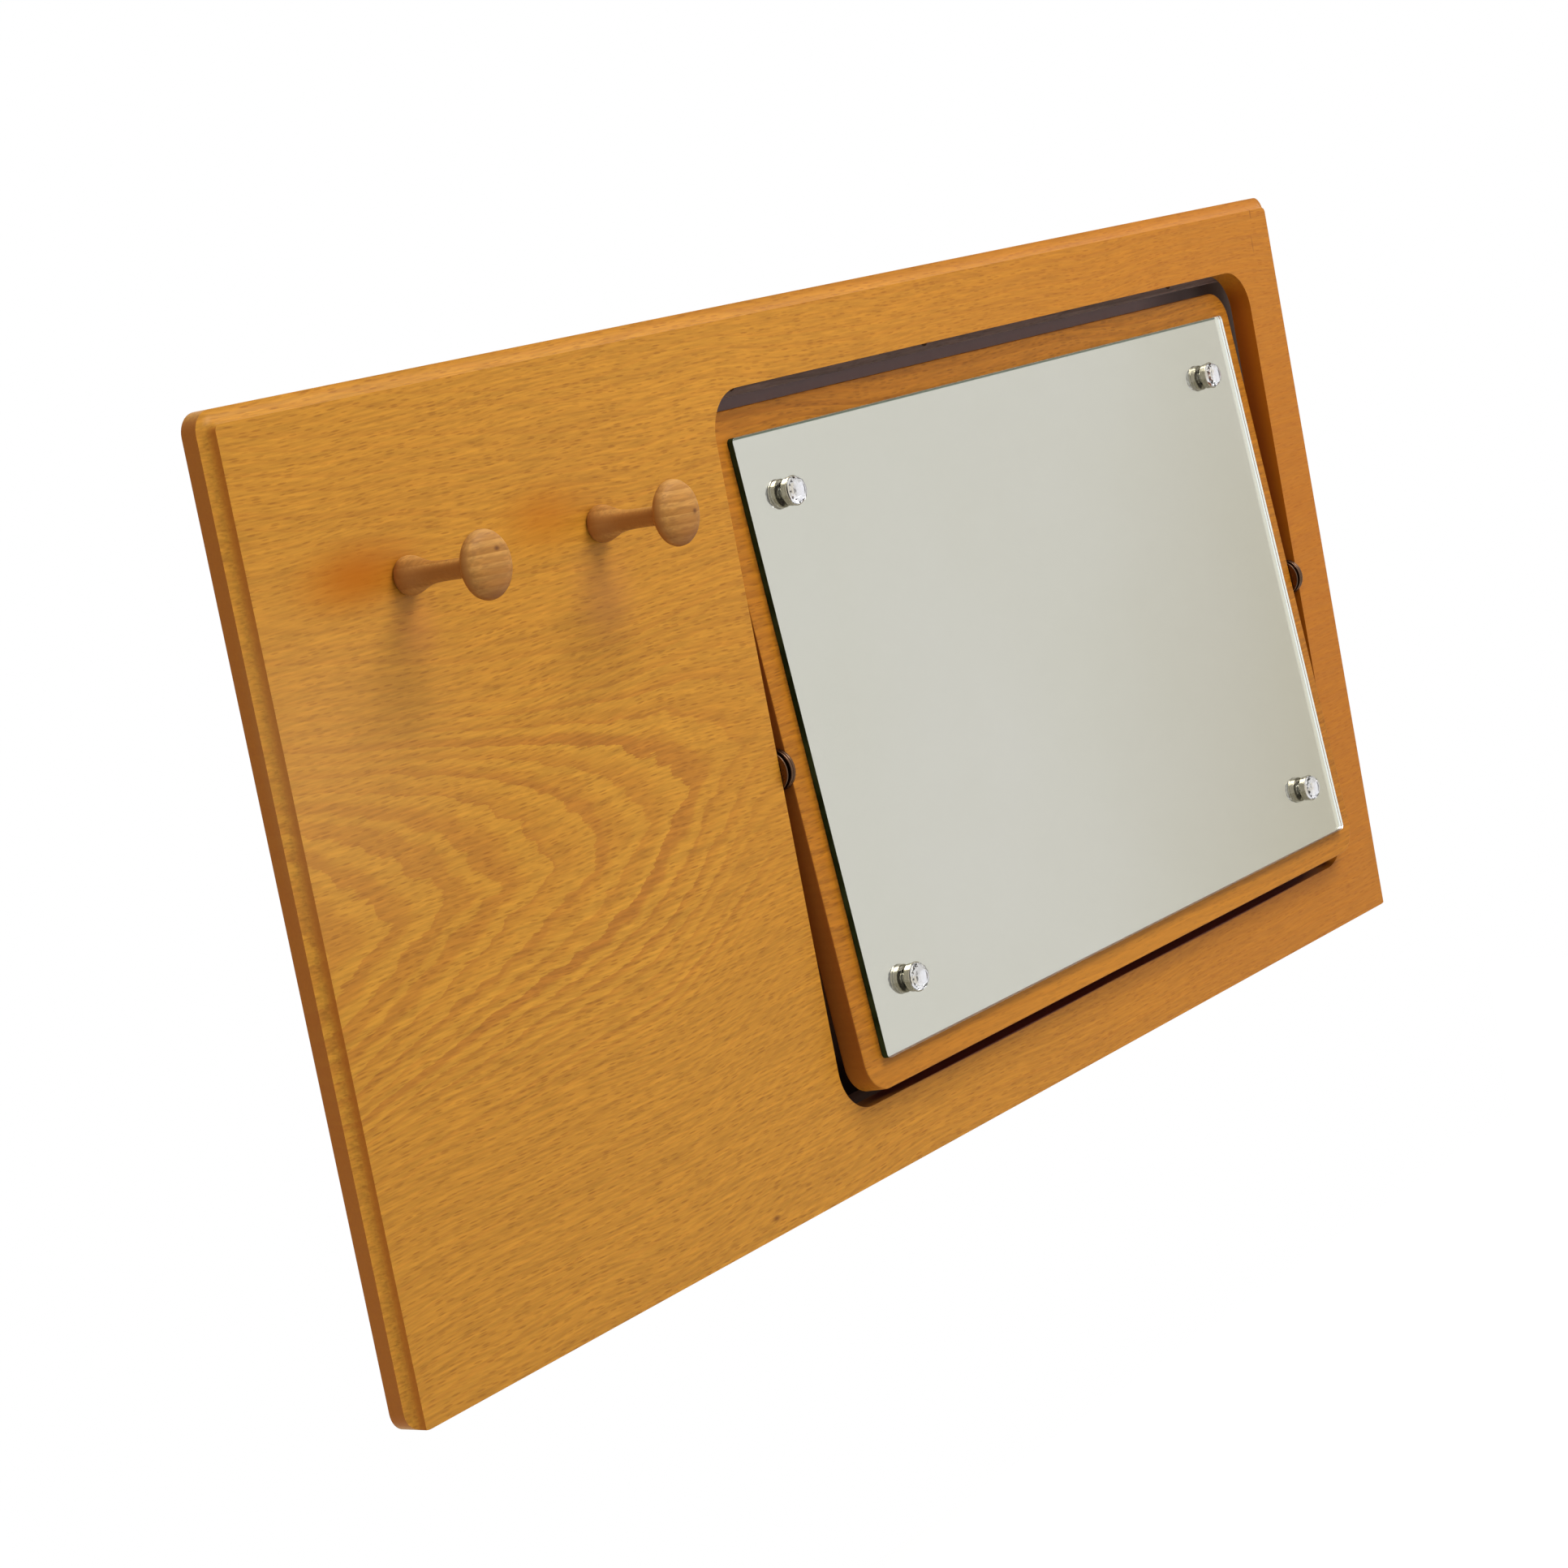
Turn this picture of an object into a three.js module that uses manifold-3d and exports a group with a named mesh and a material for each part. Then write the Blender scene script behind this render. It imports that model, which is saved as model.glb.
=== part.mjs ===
// A wooden wall board with two turned pegs and a tilting mirror, in millimetres.
//
// X runs along the board, from its middle to the right. Y runs into the wall, and the wall plane
// is y = 0, so everything lies at negative y. +Z is up. The origin is the middle of the wall
// rail's back face, where the board hangs on the wall.
//
// The board is built in its own coordinates, with z = 0 at the board's bottom edge, and the whole
// group is then lowered to the origin.

import * as THREE from 'three';
import { mergeVertices } from 'three/addons/utils/BufferGeometryUtils.js';
import { ConvexGeometry } from 'three/addons/geometries/ConvexGeometry.js';
import Module from 'manifold-3d';

const wasm = await Module();
wasm.setup();

// ---------------------------------------------------------------- driving dimensions

const gap = 0.3;                      // left between pieces that touch or fit into each other

const board = { width: 1060, height: 500, thickness: 15, cornerRadius: 11 };
const standOff = 25;                  // from the board's back to the wall
const cove = { cutterRadius: 8, cutterLift: 2.5, steps: 7 };
const opening = { left: 387, right: 1009.5, bottom: 42.4, top: 454.5, cornerRadius: 27 };

const panel = { width: 604.5, height: 392, thickness: 15, cornerRadius: 19, easedEdge: 1.2 };
const panelCentreHeight = 247;
const glass = { width: 570, height: 359, thickness: 4, cornerRadius: 3, arris: 1.2 };
const screwInset = { side: 40, end: 37 };     // from the glass's side, top and bottom edges

const pivotHeight = 242.5;
const restTilt = 4.1;                 // degrees, with the panel's top leaning back
const pin = { radius: 3, inPanel: 8, leftInBoard: 25, plugLength: 12 };
const bush = { outerRadius: 4.5, length: 10 };
const washerHoleRadius = 3.5;
const washerRadius = 12;
const discSpring = { radius: 10, sheet: 1, rise: 1.8 };

const pegs = { firstFromLeft: 116, spacing: 155, height: 401.4, length: 59.5 };
const cap = { radius: 8.25, height: 4.8, rimRadius: 8.7, rimHeight: 1.5, crystalHeight: 3.6 };

const rail = { length: 1000, bevelAngle: 30 };
const hangingRail = { top: 496, wallSideBottom: 464 };
const wallRailBottom = 449.5;
const lowerRail = { bottom: 5, top: 40 };
const railScrewOffsets = [-460, -155, 155, 460];
const wallScrewOffsets = [-400, -100, 100, 400];

const woodScrew = { length: 35, shankRadius: 2, headRadius: 4, headHeight: 2.4 };
const pegScrew = { length: 40, shankRadius: 2, headRadius: 4, headHeight: 2.4 };
const mirrorScrew = { length: 18, shankRadius: 1.75, headRadius: 3.8, headHeight: 2.2 };

const roundSteps = {
  corner: 5, openingCorner: 8, screw: 12, bore: 16, pin: 24, washer: 28, cap: 24, peg: 30,
};

// ---------------------------------------------------------------- derived places

const boardBack = -standOff;
const boardFront = boardBack - board.thickness;
const left = -board.width / 2;
const right = board.width / 2;
const openingLeft = left + opening.left;
const openingRight = left + opening.right;
const openingMiddle = (openingLeft + openingRight) / 2;
const panelLeft = openingMiddle - panel.width / 2;
const panelRight = openingMiddle + panel.width / 2;
const pivotDepth = (boardFront + boardBack) / 2;
const panelFront = -panel.thickness / 2;        // in the tilting group, whose y = 0 is the pivot
const glassBack = panelFront - gap;
const glassFront = glassBack - glass.thickness;
const radians = (degrees) => degrees * Math.PI / 180;
const bevelRise = standOff * Math.tan(radians(rail.bevelAngle));
const bevelGap = gap / Math.cos(radians(rail.bevelAngle));
const hangingRailBoardSideBottom = hangingRail.wallSideBottom + bevelRise;
const wallRailTop = hangingRail.wallSideBottom - bevelGap;      // on the wall side, the low side
const originHeight = (wallRailBottom + wallRailTop) / 2;

// ---------------------------------------------------------------- materials

const finish = (color, roughness, metalness = 0) => () => (
  new THREE.MeshStandardMaterial({ color, roughness, metalness })
);
const beech = finish(0xc98a32, 0.45);
const stainedBeech = finish(0x4a3a2e, 0.6);     // dark, so that no rail shows in the gap
const paleWood = finish(0xb59b76, 0.6);
const nickel = finish(0xa39b86, 0.3, 1);
const darkSteel = finish(0x3a3633, 0.35, 1);
const zincSteel = finish(0xb9bbb6, 0.4, 1);
const brass = finish(0xb5924a, 0.35, 1);
const mirror = finish(0xc9cabf, 0.05, 0.9);
const crystal = finish(0xf0f2f2, 0.05);
const clearPlastic = finish(0xe4e6e2, 0.4);

// ---------------------------------------------------------------- shape helpers

// Turns drawings of (x, z) extruded towards the viewer, and of (y, z) extruded along X.
const facingFront = new THREE.Matrix4().makeBasis(
  new THREE.Vector3(1, 0, 0), new THREE.Vector3(0, 0, 1), new THREE.Vector3(0, -1, 0),
);
const facingSide = new THREE.Matrix4().makeBasis(
  new THREE.Vector3(0, 1, 0), new THREE.Vector3(0, 0, 1), new THREE.Vector3(1, 0, 0),
);

// Merges shared corners and drops the empty triangles that a lathe leaves at its poles.
function closedMesh(geometry) {
  const plain = geometry.clone();
  plain.deleteAttribute('normal');
  plain.deleteAttribute('uv');
  const merged = mergeVertices(plain, 1e-4);
  const corners = merged.index.array;
  const kept = [];
  for (let i = 0; i < corners.length; i += 3) {
    const [a, b, c] = [corners[i], corners[i + 1], corners[i + 2]];
    if (a !== b && b !== c && c !== a) kept.push(a, b, c);
  }
  merged.setIndex(kept);
  return merged;
}

function solidOf(geometry) {
  const closed = closedMesh(geometry);
  return new wasm.Manifold(new wasm.Mesh({
    numProp: 3,
    vertProperties: new Float32Array(closed.attributes.position.array),
    triVerts: new Uint32Array(closed.index.array),
  }));
}

function geometryOf(solid) {
  const { vertProperties, triVerts } = solid.getMesh();
  const geometry = new THREE.BufferGeometry();
  geometry.setAttribute('position', new THREE.BufferAttribute(vertProperties, 3));
  geometry.setIndex(new THREE.BufferAttribute(triVerts, 1));
  geometry.computeVertexNormals();
  return geometry;
}

function cut(geometry, cutters) {
  const body = cutters.reduce((rest, cutter) => rest.subtract(solidOf(cutter)), solidOf(geometry));
  return geometryOf(body);
}

function meetingOf(geometryA, geometryB) {
  return geometryOf(solidOf(geometryA).intersect(solidOf(geometryB)));
}

function roundedOutline(path, x0, z0, x1, z1, radius) {
  path.absarc(x1 - radius, z1 - radius, radius, 0, Math.PI / 2);
  path.absarc(x0 + radius, z1 - radius, radius, Math.PI / 2, Math.PI);
  path.absarc(x0 + radius, z0 + radius, radius, Math.PI, Math.PI * 1.5);
  path.absarc(x1 - radius, z0 + radius, radius, Math.PI * 1.5, Math.PI * 2);
  path.closePath();
  return path;
}

// A plate drawn in (x, z), with its back at backY and its thickness towards the viewer.
function plate(shape, thickness, backY, curveSegments, edge = 0) {
  const geometry = new THREE.ExtrudeGeometry(shape, {
    depth: thickness - 2 * edge,
    curveSegments,
    bevelEnabled: edge > 0,
    bevelThickness: edge,
    bevelSize: edge,
    bevelOffset: -edge,
    bevelSegments: edge > 1 ? 2 : 1,
  });
  return geometry.translate(0, 0, edge).applyMatrix4(facingFront).translate(0, backY, 0);
}

// Profile points are [radius, height], from the bottom of the axis to its top.
function turned(profile, segments) {
  return new THREE.LatheGeometry(profile.map(([r, h]) => new THREE.Vector2(r, h)), segments);
}

// A ring's profile closes on itself, and runs up its outside and down its inside.
function turnedRing(profile, segments) {
  return turned([...profile, profile[0]], segments);
}

// A turned piece's height runs along +y as it is made. These two turn it along -y, so that it
// stands out towards the viewer, and along +x.
const standingOut = (geometry) => geometry.rotateX(Math.PI);
const lyingAlongX = (geometry) => geometry.rotateZ(-Math.PI / 2);

function rod(radius, length, segments) {
  return turned([[0, 0], [radius, 0], [radius, length], [0, length]], segments);
}

function washer(radius, thickness) {
  return turnedRing([
    [washerHoleRadius, 0],
    [radius, 0],
    [radius, thickness],
    [washerHoleRadius, thickness],
  ], roundSteps.washer);
}

// A countersunk screw, with the top of its head at height 0 and its point below.
function countersunkScrew({ length, shankRadius, headRadius, headHeight }) {
  const pointLength = 1.5 * shankRadius;
  return turned([
    [0, -length],
    [shankRadius, -length + pointLength],
    [shankRadius, -headHeight],
    [headRadius, -0.3],
    [headRadius, 0],
    [0, 0],
  ], roundSteps.screw);
}

// The hole that such a screw needs, run out past the face that it is driven into.
function countersunkHole({ length, shankRadius, headRadius, headHeight }) {
  const runOut = 2;
  return turned([
    [0, -length - gap],
    [shankRadius + gap, -length - gap],
    [shankRadius + gap, -headHeight],
    [headRadius + gap, -0.3],
    [headRadius + gap, runOut],
    [0, runOut],
  ], roundSteps.screw);
}

// A screw with a round flat head, with the top of its head at height 0.
function panHeadScrew({ length, shankRadius, headRadius, headHeight }) {
  return turned([
    [0, -length],
    [shankRadius, -length + 1.5 * shankRadius],
    [shankRadius, -headHeight],
    [headRadius, -headHeight],
    [headRadius, -0.6],
    [headRadius - 0.8, 0],
    [0, 0],
  ], roundSteps.screw);
}

// ---------------------------------------------------------------- wall board

// The path of the round cutter up the left edge, round the top corners and down the right edge.
// Each section is a C-shaped outline, open at the bottom, that is set in by the width of the cove
// at its depth. The first lies in front of the board, and the last just outside its edge.
function coveCutter() {
  const beyond = 20;
  const firstAngle = Math.asin(cove.cutterLift / cove.cutterRadius);
  const lastAngle = radians(94);
  const sections = [{ outline: coveOutline(cove.cutterRadius, beyond), y: boardFront - 1 }];
  for (let i = 0; i <= cove.steps; i += 1) {
    const angle = firstAngle + (lastAngle - firstAngle) * i / cove.steps;
    const depth = cove.cutterRadius * Math.sin(angle) - cove.cutterLift;
    sections.push({
      outline: coveOutline(cove.cutterRadius * Math.cos(angle), beyond),
      y: boardFront + depth,
    });
  }
  return lofted(sections);
}

function coveOutline(inset, beyond) {
  const radius = board.cornerRadius - inset;
  const cornerZ = board.height - board.cornerRadius;
  const corners = [
    { x: left + board.cornerRadius, startAngle: Math.PI },
    { x: right - board.cornerRadius, startAngle: Math.PI / 2 },
  ];
  const steps = 2 * roundSteps.corner;
  const outline = [new THREE.Vector2(left + inset, -beyond)];
  for (const { x, startAngle } of corners) {
    for (let i = 0; i <= steps; i += 1) {
      const angle = startAngle - (Math.PI / 2) * i / steps;
      outline.push(new THREE.Vector2(
        x + radius * Math.cos(angle),
        cornerZ + radius * Math.sin(angle),
      ));
    }
  }
  outline.push(
    new THREE.Vector2(right - inset, -beyond),
    new THREE.Vector2(right + beyond, -beyond),
    new THREE.Vector2(right + beyond, board.height + beyond),
    new THREE.Vector2(left - beyond, board.height + beyond),
    new THREE.Vector2(left - beyond, -beyond),
  );
  return outline;
}

// Joins outlines of (x, z), given from front to back with equal point counts, into one solid.
function lofted(sections) {
  const count = sections[0].outline.length;
  const positions = sections.flatMap(({ outline, y }) => outline.flatMap((p) => [p.x, y, p.y]));
  const index = [];
  const last = (sections.length - 1) * count;
  for (const [a, b, c] of THREE.ShapeUtils.triangulateShape(sections[0].outline, [])) {
    index.push(a, b, c);
  }
  for (const [a, b, c] of THREE.ShapeUtils.triangulateShape(sections.at(-1).outline, [])) {
    index.push(last + a, last + c, last + b);
  }
  for (let s = 0; s < sections.length - 1; s += 1) {
    for (let i = 0; i < count; i += 1) {
      const next = (i + 1) % count;
      const [a, b] = [s * count + i, s * count + next];
      index.push(a, b + count, b, a, a + count, b + count);
    }
  }
  const geometry = new THREE.BufferGeometry();
  geometry.setAttribute('position', new THREE.Float32BufferAttribute(positions, 3));
  geometry.setIndex(index);
  return geometry;
}

function boardBlank() {
  const outline = roundedOutline(new THREE.Shape(), left, 0, right, board.height, board.cornerRadius);
  return cut(plate(outline, board.thickness, boardBack, roundSteps.corner), [coveCutter()]);
}

function openingCutter() {
  const outline = roundedOutline(
    new THREE.Shape(), openingLeft, opening.bottom, openingRight, opening.top, opening.cornerRadius,
  );
  return plate(outline, board.thickness + 4, boardBack + 2, roundSteps.openingCorner);
}

const pegPlaces = [0, 1].map((i) => left + pegs.firstFromLeft + i * pegs.spacing);
const hangingScrewHeight = (hangingRail.top + hangingRailBoardSideBottom) / 2;
const lowerScrewHeight = (lowerRail.top + lowerRail.bottom) / 2;

// A hole for a screw that is driven from behind, with the top of its head at (x, y, z).
function holeFromBehind(screw, x, y, z) {
  return countersunkHole(screw).translate(x, y, z);
}

const railScrewPlaces = [hangingScrewHeight, lowerScrewHeight].map(
  (z) => railScrewOffsets.map((x) => [x, -gap, z]),
);

// A rod on the pivot's axis, from x0 to x1.
function pivotRod(radius, x0, x1) {
  return lyingAlongX(rod(radius, x1 - x0, roundSteps.pin)).translate(x0, pivotDepth, pivotHeight);
}

// Closes the right-hand bore, and follows the board's edge and cove.
function pivotPlug() {
  return meetingOf(boardBlank(), pivotRod(pin.radius, right - pin.plugLength, right + 5));
}

function wallBoard() {
  return cut(boardBlank(), [
    openingCutter(),
    ...railScrewPlaces.flat().map(([x, y, z]) => holeFromBehind(woodScrew, x, y, z)),
    ...pegPlaces.map((x) => holeFromBehind(pegScrew, x, boardBack - gap, pegs.height)),
    pivotRod(pin.radius + gap, openingLeft - pin.leftInBoard - gap, openingLeft + 5),
    pivotRod(pin.radius + gap, openingRight - 5, right + 5),
  ]);
}

// ---------------------------------------------------------------- rails

// A rail drawn in (y, z) and run along the board's back.
function railAlongBoard(points) {
  const shape = new THREE.Shape(points.map(([y, z]) => new THREE.Vector2(y, z)));
  const bar = new THREE.ExtrudeGeometry(shape, { depth: rail.length, bevelEnabled: false });
  return bar.applyMatrix4(facingSide).translate(-rail.length / 2, 0, 0);
}

function hangingRailBar() {
  const bar = railAlongBoard([
    [boardBack + gap, hangingRailBoardSideBottom],
    [0, hangingRail.wallSideBottom],
    [0, hangingRail.top],
    [boardBack + gap, hangingRail.top],
  ]);
  return cut(bar, railScrewPlaces[0].map(([x, y, z]) => holeFromBehind(woodScrew, x, y, z)));
}

function lowerRailBar() {
  const bar = railAlongBoard([
    [boardBack + gap, lowerRail.bottom],
    [0, lowerRail.bottom],
    [0, lowerRail.top],
    [boardBack + gap, lowerRail.top],
  ]);
  return cut(bar, railScrewPlaces[1].map(([x, y, z]) => holeFromBehind(woodScrew, x, y, z)));
}

// The half that is screwed to the wall, with its bevel under the hanging rail's. Its screws are
// driven from the front, before the board is hung on it.
function wallRailBar() {
  const bar = railAlongBoard([
    [boardBack + gap, wallRailBottom],
    [0, wallRailBottom],
    [0, wallRailTop],
    [boardBack + gap, wallRailTop + bevelRise],
  ]);
  const hole = { ...woodScrew, length: standOff + 2 };
  return cut(bar, wallScrewOffsets.map((x) => (
    standingOut(countersunkHole(hole)).translate(x, boardBack + gap, originHeight)
  )));
}

// ---------------------------------------------------------------- pegs

// Turned on a lathe: a swelling foot, a slender stem and a round head, flat at the back.
function peg() {
  const profile = [[0, gap], [8.6, gap], [9.5, 1.4], [10, 3.2], [10, 5], [9.5, 7.2], [8.4, 9.8]];
  profile.push([7.2, 12.4], [6.2, 15.4], [5.5, 19], [5.2, 24], [5.1, 32], [5.2, 40], [5.7, 44]);
  profile.push([7, 46.2], [9.6, 47.5], [13, 48.6], [15.8, 49.7], [17.1, 51], [17.5, 52.3]);
  profile.push([17.1, 54.2], [15.6, 56.2], [12.4, 58], [8, 59.1], [3.5, pegs.length], [0, pegs.length]);
  const blank = standingOut(turned(profile, roundSteps.peg));
  return cut(blank, [holeFromBehind(pegScrew, 0, board.thickness - gap, 0)]);
}

// ---------------------------------------------------------------- tilting mirror

const panelTopEdge = panelCentreHeight + panel.height / 2 - pivotHeight;   // in the tilting group
const panelBottomEdge = panelTopEdge - panel.height;
const panelMiddle = (panelTopEdge + panelBottomEdge) / 2;
const mirrorScrewPlaces = [1, -1].flatMap((up) => [-1, 1].map((side) => [
  openingMiddle + side * (glass.width / 2 - screwInset.side),
  panelMiddle + up * (glass.height / 2 - screwInset.end),
]));

const screwHeadTop = glassFront - gap - mirrorScrew.headHeight;

function mirrorPanel() {
  const outline = roundedOutline(
    new THREE.Shape(), panelLeft, panelBottomEdge, panelRight, panelTopEdge, panel.cornerRadius,
  );
  const slab = plate(outline, panel.thickness, -panelFront, roundSteps.openingCorner, panel.easedEdge);
  const beyond = 5;
  const boreLength = bush.length + gap;
  const bushBore = () => lyingAlongX(rod(bush.outerRadius + gap, boreLength + beyond, roundSteps.pin));
  const screwBore = () => rod(mirrorScrew.shankRadius + gap, mirrorScrew.length + gap, roundSteps.screw);
  return cut(slab, [
    bushBore().translate(panelLeft - beyond, 0, 0),
    bushBore().translate(panelRight - boreLength, 0, 0),
    ...mirrorScrewPlaces.map(([x, z]) => screwBore().translate(x, screwHeadTop, z)),
  ]);
}

const glassHoleRadius = 4;

function mirrorGlass() {
  const shape = roundedOutline(
    new THREE.Shape(),
    openingMiddle - glass.width / 2,
    panelMiddle - glass.height / 2,
    openingMiddle + glass.width / 2,
    panelMiddle + glass.height / 2,
    glass.cornerRadius,
  );
  const holes = mirrorScrewPlaces.map(([x, z]) => (
    rod(glassHoleRadius, 2 * glass.thickness, roundSteps.bore).translate(x, glassFront - 2, z)
  ));
  return cut(plate(shape, glass.thickness, glassBack, roundSteps.corner, glass.arris), holes);
}

function glassSleeve() {
  const inner = mirrorScrew.shankRadius + gap;
  const outer = glassHoleRadius - gap;
  return standingOut(turnedRing([
    [inner, 0],
    [outer, 0],
    [outer, glass.thickness],
    [inner, glass.thickness],
  ], roundSteps.bore));
}

// A nickel cup that hides the screw's head, with a low rim round the seat of the crystal.
function capCollar() {
  const seat = cap.height + gap;
  const rimTop = cap.height + cap.rimHeight;
  return standingOut(turned([
    [0, 3.4],
    [4.6, 3.4],
    [4.6, gap],
    [cap.radius - 0.3, gap],
    [cap.radius, 0.7],
    [cap.radius, cap.height - 0.4],
    [cap.rimRadius, cap.height],
    [cap.rimRadius, rimTop - 0.3],
    [cap.rimRadius - 0.4, rimTop],
    [cap.rimRadius - 0.8, rimTop],
    [cap.rimRadius - 0.8, seat],
    [0, seat],
  ], roundSteps.cap));
}

// Cut like a gem: a flat table, two rows of facets and a girdle that sits in the collar's rim.
function crystalCap() {
  const seat = cap.height + 2 * gap;
  const girdleRadius = cap.rimRadius - 0.8 - gap;
  const rings = [
    { count: 16, radius: girdleRadius, height: 0 },
    { count: 16, radius: girdleRadius, height: 0.9 },
    { count: 8, radius: girdleRadius * 0.84, height: cap.crystalHeight * 0.62, turn: Math.PI / 8 },
    { count: 8, radius: girdleRadius * 0.5, height: cap.crystalHeight },
  ];
  const points = rings.flatMap(({ count, radius, height, turn = 0 }) => (
    Array.from({ length: count }, (_, i) => {
      const angle = turn + i * 2 * Math.PI / count;
      return new THREE.Vector3(radius * Math.cos(angle), seat + height, radius * Math.sin(angle));
    })
  ));
  return standingOut(new ConvexGeometry(points));
}

// ---------------------------------------------------------------- pivot

// The gap beside the panel holds, from left to right on either side of it, a thin washer at the
// left-hand wood, a disc spring, and two thicker washers at the right-hand wood.
const pivotStack = [
  { name: 'edge_washer', at: 0.3, thickness: 1, radius: washerRadius },
  { name: 'disc_spring', at: 1.6 },
  { name: 'middle_washer', at: 4.7, thickness: 1.8, radius: washerRadius },
  { name: 'face_washer', at: 6.8, thickness: 1.9, radius: washerRadius },
];

function discSpringRing() {
  const { radius, sheet, rise } = discSpring;
  return turnedRing([
    [washerHoleRadius, rise],
    [radius, 0],
    [radius, sheet],
    [washerHoleRadius, rise + sheet],
  ], roundSteps.washer);
}

function pivotPin(x0, x1) {
  return lyingAlongX(rod(pin.radius, x1 - x0, roundSteps.pin)).translate(x0, 0, 0);
}

function pivotBush() {
  return lyingAlongX(turnedRing([
    [pin.radius + gap, 0],
    [bush.outerRadius, 0],
    [bush.outerRadius, bush.length],
    [pin.radius + gap, bush.length],
  ], roundSteps.pin));
}

// ---------------------------------------------------------------- assembly

const group = new THREE.Group();
group.position.z = -originHeight;

const tilting = new THREE.Group();
tilting.position.set(0, pivotDepth, pivotHeight);
tilting.rotation.x = -radians(restTilt);
group.add(tilting);

function place(parent, name, geometry, material, x = 0, y = 0, z = 0) {
  const mesh = new THREE.Mesh(geometry, material());
  mesh.name = name;
  mesh.position.set(x, y, z);
  parent.add(mesh);
}

place(group, 'wall_board', wallBoard(), beech);
place(group, 'hanging_rail', hangingRailBar(), stainedBeech);
place(group, 'wall_rail', wallRailBar(), stainedBeech);
place(group, 'lower_rail', lowerRailBar(), stainedBeech);

['hanging', 'lower'].forEach((railName, row) => {
  railScrewPlaces[row].forEach(([x, y, z], i) => {
    place(group, `${railName}_rail_screw_${i + 1}`, countersunkScrew(woodScrew), zincSteel, x, y, z);
  });
});

['left', 'right'].forEach((side, i) => {
  place(group, `peg_${side}`, peg(), paleWood, pegPlaces[i], boardFront, pegs.height);
  const screw = countersunkScrew(pegScrew);
  place(group, `peg_screw_${side}`, screw, zincSteel, pegPlaces[i], boardBack - gap, pegs.height);
});

// The left pin stands in a blind bore, and the right one is put in through the board's edge.
const leftPin = pivotPin(openingLeft - pin.leftInBoard, panelLeft + pin.inPanel);
const rightPin = pivotPin(panelRight - pin.inPanel, right - pin.plugLength - gap);
place(group, 'pivot_pin_left', leftPin, zincSteel, 0, pivotDepth, pivotHeight);
place(group, 'pivot_pin_right', rightPin, zincSteel, 0, pivotDepth, pivotHeight);
place(group, 'pivot_plug', pivotPlug(), beech);

const stackStarts = { left: openingLeft, right: panelRight };
const washerOnPanel = { left: 'face_washer', right: 'edge_washer' };
for (const [side, start] of Object.entries(stackStarts)) {
  for (const { name, at, thickness, radius } of pivotStack) {
    const ring = thickness ? washer(radius, thickness) : discSpringRing();
    if (name === washerOnPanel[side]) {
      place(tilting, `${name}_${side}`, lyingAlongX(ring), darkSteel, start + at, 0, 0);
    } else {
      place(group, `${name}_${side}`, lyingAlongX(ring), darkSteel, start + at, pivotDepth, pivotHeight);
    }
  }
}

place(tilting, 'mirror_panel', mirrorPanel(), beech);
place(tilting, 'mirror_glass', mirrorGlass(), mirror);
place(tilting, 'pivot_bush_left', pivotBush(), brass, panelLeft, 0, 0);
place(tilting, 'pivot_bush_right', pivotBush(), brass, panelRight - bush.length, 0, 0);

mirrorScrewPlaces.forEach(([x, z], i) => {
  const screw = standingOut(panHeadScrew(mirrorScrew));
  place(tilting, `mirror_screw_${i + 1}`, screw, zincSteel, x, screwHeadTop, z);
  place(tilting, `glass_sleeve_${i + 1}`, glassSleeve(), clearPlastic, x, glassBack, z);
  place(tilting, `cap_collar_${i + 1}`, capCollar(), nickel, x, glassFront, z);
  place(tilting, `crystal_cap_${i + 1}`, crystalCap(), crystal, x, glassFront, z);
});

export default group;
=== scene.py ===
import math
import bpy
from mathutils import Matrix, Vector


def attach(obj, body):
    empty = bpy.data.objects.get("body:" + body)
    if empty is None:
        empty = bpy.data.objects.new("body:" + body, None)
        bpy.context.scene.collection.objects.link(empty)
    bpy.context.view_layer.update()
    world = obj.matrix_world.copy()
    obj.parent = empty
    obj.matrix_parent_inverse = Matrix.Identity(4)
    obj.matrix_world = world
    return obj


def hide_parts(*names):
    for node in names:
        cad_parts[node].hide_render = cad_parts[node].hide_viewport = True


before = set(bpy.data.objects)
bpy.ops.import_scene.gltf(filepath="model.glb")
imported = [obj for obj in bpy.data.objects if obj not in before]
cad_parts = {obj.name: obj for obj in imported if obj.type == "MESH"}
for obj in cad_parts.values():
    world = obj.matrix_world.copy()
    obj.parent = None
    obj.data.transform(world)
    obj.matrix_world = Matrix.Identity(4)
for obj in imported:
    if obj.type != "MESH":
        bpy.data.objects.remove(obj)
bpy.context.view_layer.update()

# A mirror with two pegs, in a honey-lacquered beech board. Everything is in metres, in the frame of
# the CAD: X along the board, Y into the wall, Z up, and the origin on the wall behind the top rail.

MM = 0.001
PIVOT = Vector((0.0, -32.5, -214.077)) * MM          # on the line of the two pins
LEAN = math.radians(-4.1)                            # the mirror's top leans back at rest

# The glass, in millimetres from the pivot line: its middle, its size and its two faces.
GLASS_MIDDLE = Vector((168.25, 0, 5.0))
GLASS_SIZE = (570, 359)
GLASS_BACK = -7.8
GLASS_FRONT = -11.8
CAP_SPACING = (490, 285)
CAP_PLACES = [(GLASS_MIDDLE.x + across * CAP_SPACING[0] / 2, GLASS_MIDDLE.z + up * CAP_SPACING[1] / 2)
              for up in (1, -1) for across in (-1, 1)]


# ---------------------------------------------------------------- small helpers

def linear(code):
    """An sRGB colour such as "C98A32", as the linear numbers that Blender works in."""
    parts = [int(code[i:i + 2], 16) / 255 for i in (0, 2, 4)]
    return tuple(v / 12.92 if v <= 0.04045 else ((v + 0.055) / 1.055) ** 2.4 for v in parts) + (1,)


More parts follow.
